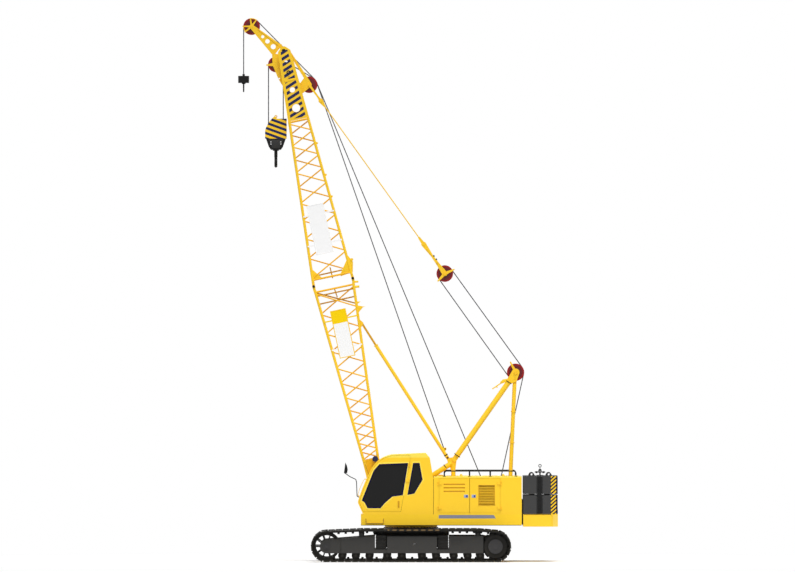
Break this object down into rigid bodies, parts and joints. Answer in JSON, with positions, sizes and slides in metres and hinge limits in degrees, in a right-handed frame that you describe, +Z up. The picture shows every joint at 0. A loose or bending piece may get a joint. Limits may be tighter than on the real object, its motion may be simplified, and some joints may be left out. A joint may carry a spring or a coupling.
{
  "type": "crawler crane",
  "caption": "Crawler crane with a lattice boom on a gantry and pendants, cab, machinery houses, counterweight, hook block and auxiliary hook.",
  "frame": {"origin": "on the ground, in the middle of the machine's length and width", "axes": "+X forward, the way the cab faces, +Y to the left, where the cab is, +Z up"},
  "size_m": [9.2642, 4.3, 15.7616],
  "materials": {
    "yellow_paint": "semi-gloss paint",
    "ochre_paint": "semi-gloss paint",
    "dark_paint": "matt paint",
    "undercarriage_steel": "matt paint, worn",
    "track_steel": "worn steel",
    "bare_steel": "greased steel",
    "black_steel": "matt paint",
    "sheave_paint": "satin paint",
    "drum_paint": "satin paint",
    "engine_paint": "matt paint",
    "cast_weight": "matt paint",
    "dark_glass": "tinted",
    "seat_cover": "woven",
    "rope": "wire rope",
    "black_plastic": "moulded",
    "board_white": "painted sheet"
  },
  "bodies": {
    "lower": {"carbody": "dark_paint", "slew_ring": "bare_steel", "track_frame_left": "dark_paint", "track_frame_right": "dark_paint", "track_left": "track_steel", "track_right": "track_steel", "idlers": "undercarriage_steel", "sprockets": "undercarriage_steel", "rollers": "undercarriage_steel"},
    "upper": {"turntable": "yellow_paint", "cab_shell": "yellow_paint", "cab_glass": "dark_glass", "cab_seat": "seat_cover", "mirror": "black_plastic", "house_left": "yellow_paint", "house_right": "yellow_paint", "handrails": "black_steel", "engine": "engine_paint", "drums": "drum_paint", "drum_stands": "yellow_paint", "gantry_base": "yellow_paint", "gantry_mast": "yellow_paint", "gantry_legs": "yellow_paint", "counterweight_tray": "yellow_paint", "counterweight_lower": "cast_weight", "counterweight_upper": "cast_weight", "counterweight_fittings": "dark_paint"},
    "boom": {"boom_foot_section": "yellow_paint", "boom_head_section": "yellow_paint", "boom_coupling_pins": "bare_steel", "boom_head": "yellow_paint", "boom_boards": "board_white", "guide_sheaves": "sheave_paint", "aux_jib": "yellow_paint"},
    "main_tackle": {"main_head_sheaves": "sheave_paint", "main_falls": "rope"},
    "main_hook_block": {"hook_block": "yellow_paint", "hook_block_sheaves": "sheave_paint", "hook_block_weight": "black_steel", "main_hook": "black_steel"},
    "aux_tackle": {"aux_sheave": "sheave_paint", "aux_fall": "rope"},
    "aux_hook_assembly": {"aux_hook_weight": "black_steel", "aux_hook": "black_steel"},
    "luffing_tackle": {"gantry_sheaves": "sheave_paint"},
    "main_rope_at_drum": {"main_rope_lower": "rope"},
    "main_rope_at_head": {"main_rope_upper": "rope"},
    "aux_rope_at_drum": {"aux_rope_lower": "rope"},
    "aux_rope_at_head": {"aux_rope_upper": "rope"},
    "stays": {"bridle": "yellow_paint", "bridle_sheaves": "sheave_paint", "pendants": "yellow_paint"},
    "backstop_tube_pair": {"backstop_tubes": "yellow_paint"},
    "backstop_rod_pair": {"backstop_rods": "ochre_paint"},
    "cab_door_leaf": {"cab_door": "yellow_paint", "cab_door_glass": "dark_glass"},
    "left_front_door": {"house_door_left_front": "yellow_paint"},
    "left_rear_door": {"house_door_left_rear": "yellow_paint"},
    "right_front_door": {"house_door_right_front": "yellow_paint"},
    "right_rear_door": {"house_door_right_rear": "yellow_paint"}
  },
  "joints": [
    {"name": "slew", "type": "hinge", "parent": "lower", "child": "upper", "pos_m": [-0.38108, 0, 1.055], "axis": [0, 0, 1], "continuous": true},
    {"name": "boom_luff", "type": "hinge", "parent": "upper", "child": "boom", "pos_m": [0.53242, 0, 1.778], "axis": [0, -1, 0], "range_deg": [-48, 0]},
    {"name": "backstop_swing", "type": "hinge", "parent": "upper", "child": "backstop_tube_pair", "pos_m": [-1.48308, 0, 2.938], "axis": [0, -1, 0], "range_deg": [-40.65, 0.2]},
    {"name": "backstop_slide", "type": "slide", "parent": "backstop_tube_pair", "child": "backstop_rod_pair", "axis": [0.5374, 0, 0.8433], "range_m": [-0.005, 1.7525]},
    {"name": "stay_swing", "type": "hinge", "parent": "upper", "child": "luffing_tackle", "pos_m": [-3.41408, 0, 5.484], "axis": [0, -1, 0], "range_deg": [-43.27, 0.2]},
    {"name": "stay_pull", "type": "slide", "parent": "luffing_tackle", "child": "stays", "axis": [0.5832, 0, 0.8123], "range_m": [-0.005, 4.2819]},
    {"name": "main_tackle_level", "type": "hinge", "parent": "boom", "child": "main_tackle", "pos_m": [3.53727, 0, 14.40928], "axis": [0, -1, 0], "range_deg": [-0.2, 48.2]},
    {"name": "main_hoist", "type": "slide", "parent": "main_tackle", "child": "main_hook_block", "axis": [0, 0, 1], "range_m": [-4.9, 0.2], "deforming": ["main_falls"]},
    {"name": "aux_tackle_level", "type": "hinge", "parent": "boom", "child": "aux_tackle", "pos_m": [4.24108, 0, 15.50796], "axis": [0, -1, 0], "range_deg": [-0.2, 48.2]},
    {"name": "aux_hoist", "type": "slide", "parent": "aux_tackle", "child": "aux_hook_assembly", "axis": [0, 0, 1], "range_m": [-5.8, 0.6], "deforming": ["aux_fall"]},
    {"name": "main_rope_swing", "type": "hinge", "parent": "upper", "child": "main_rope_at_drum", "pos_m": [-1.54908, 0, 1.85], "axis": [0, -1, 0], "range_deg": [-43.64, 0.2]},
    {"name": "main_rope_pull", "type": "slide", "parent": "main_rope_at_drum", "child": "main_rope_at_head", "axis": [0.3254, 0, 0.9456], "range_m": [-0.005, 1.3277]},
    {"name": "aux_rope_swing", "type": "hinge", "parent": "upper", "child": "aux_rope_at_drum", "pos_m": [-2.37308, 0, 1.85], "axis": [0, -1, 0], "range_deg": [-41.68, 0.2]},
    {"name": "aux_rope_pull", "type": "slide", "parent": "aux_rope_at_drum", "child": "aux_rope_at_head", "axis": [0.3817, 0, 0.9243], "range_m": [-0.005, 1.7715]},
    {"name": "cab_door_hinge", "type": "hinge", "parent": "upper", "child": "cab_door_leaf", "pos_m": [-0.32108, 1.614, 2.2], "axis": [0, 0, 1], "range_deg": [0, 100]},
    {"name": "left_front_door_hinge", "type": "hinge", "parent": "upper", "child": "left_front_door", "pos_m": [-1.19608, 1.614, 1.92], "axis": [0, 0, -1], "range_deg": [0, 100]},
    {"name": "left_rear_door_hinge", "type": "hinge", "parent": "upper", "child": "left_rear_door", "pos_m": [-2.95608, 1.614, 1.92], "axis": [0, 0, 1], "range_deg": [0, 100]},
    {"name": "right_front_door_hinge", "type": "hinge", "parent": "upper", "child": "right_front_door", "pos_m": [-1.19608, -1.614, 1.92], "axis": [0, 0, 1], "range_deg": [0, 100]},
    {"name": "right_rear_door_hinge", "type": "hinge", "parent": "upper", "child": "right_rear_door", "pos_m": [-2.95608, -1.614, 1.92], "axis": [0, 0, -1], "range_deg": [0, 100]}
  ],
  "couplings": [
    {"joint": "backstop_swing", "follows": "boom_luff", "ratio": 0.84265},
    {"joint": "backstop_slide", "follows": "boom_luff", "m_per_rad": -2.086},
    {"joint": "stay_swing", "follows": "boom_luff", "ratio": 0.89733},
    {"joint": "stay_pull", "follows": "boom_luff", "m_per_rad": -5.1052},
    {"joint": "main_rope_swing", "follows": "boom_luff", "ratio": 0.90499},
    {"joint": "main_rope_pull", "follows": "boom_luff", "m_per_rad": -1.5789},
    {"joint": "aux_rope_swing", "follows": "boom_luff", "ratio": 0.86407},
    {"joint": "aux_rope_pull", "follows": "boom_luff", "m_per_rad": -2.1086},
    {"joint": "main_tackle_level", "follows": "boom_luff", "ratio": -1},
    {"joint": "aux_tackle_level", "follows": "boom_luff", "ratio": -1}
  ]
}
